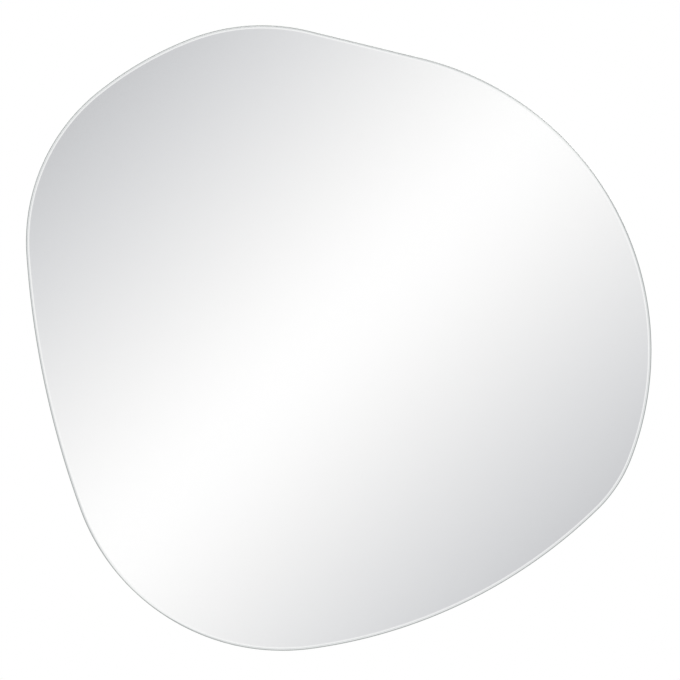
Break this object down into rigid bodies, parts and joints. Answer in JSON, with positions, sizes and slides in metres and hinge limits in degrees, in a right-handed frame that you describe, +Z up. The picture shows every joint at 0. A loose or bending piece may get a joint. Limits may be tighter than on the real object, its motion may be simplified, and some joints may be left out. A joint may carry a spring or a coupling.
{
  "type": "frameless wall mirror",
  "caption": "Frameless wall mirror with a free pebble outline: pencil-edged glass bonded to a backing board that hangs from swinging D-rings and rests on soft bumpers.",
  "frame": {"origin": "on the wall, behind the middle of the outline's box", "axes": "+X to the viewer's right, +Y from the mirror into the wall, +Z up; the glass faces -Y"},
  "size_m": [0.6, 0.0224, 0.6],
  "materials": {
    "glass": "clear float glass, polished edge",
    "silver": "silvered, seen through the glass",
    "film": "grey film with a fine weave",
    "board": "plain fibreboard",
    "foam_tape": "white foam tape",
    "adhesive": "cured neutral adhesive",
    "strap_steel": "zinc plated",
    "ring_steel": "nickel plated wire",
    "screw_steel": "zinc plated",
    "bumper": "soft matt rubber"
  },
  "bodies": {
    "mirror": {"mirror_glass": "glass", "mirror_silvering": "silver", "safety_film": "film", "backing_board": "board", "foam_tape_1": "foam_tape", "foam_tape_2": "foam_tape", "foam_tape_3": "foam_tape", "foam_tape_4": "foam_tape", "foam_tape_5": "foam_tape", "adhesive_bead_1": "adhesive", "adhesive_bead_2": "adhesive", "adhesive_bead_3": "adhesive", "adhesive_bead_4": "adhesive", "bumper_top_left": "bumper", "bumper_top_right": "bumper", "bumper_bottom_left": "bumper", "bumper_bottom_right": "bumper", "hanger_strap_left": "strap_steel", "hanger_screw_left_upper": "screw_steel", "hanger_screw_left_lower": "screw_steel", "hanger_strap_right": "strap_steel", "hanger_screw_right_upper": "screw_steel", "hanger_screw_right_lower": "screw_steel"},
    "ring_left": {"hanger_ring_left": "ring_steel"},
    "ring_right": {"hanger_ring_right": "ring_steel"}
  },
  "joints": [
    {"name": "ring_left_swing", "type": "hinge", "parent": "mirror", "child": "ring_left", "pos_m": [-0.14, -0.0034, 0.16], "axis": [1, 0, 0], "range_deg": [0, 176.5]},
    {"name": "ring_right_swing", "type": "hinge", "parent": "mirror", "child": "ring_right", "pos_m": [0.12, -0.0034, 0.16], "axis": [1, 0, 0], "range_deg": [0, 176.5]}
  ]
}
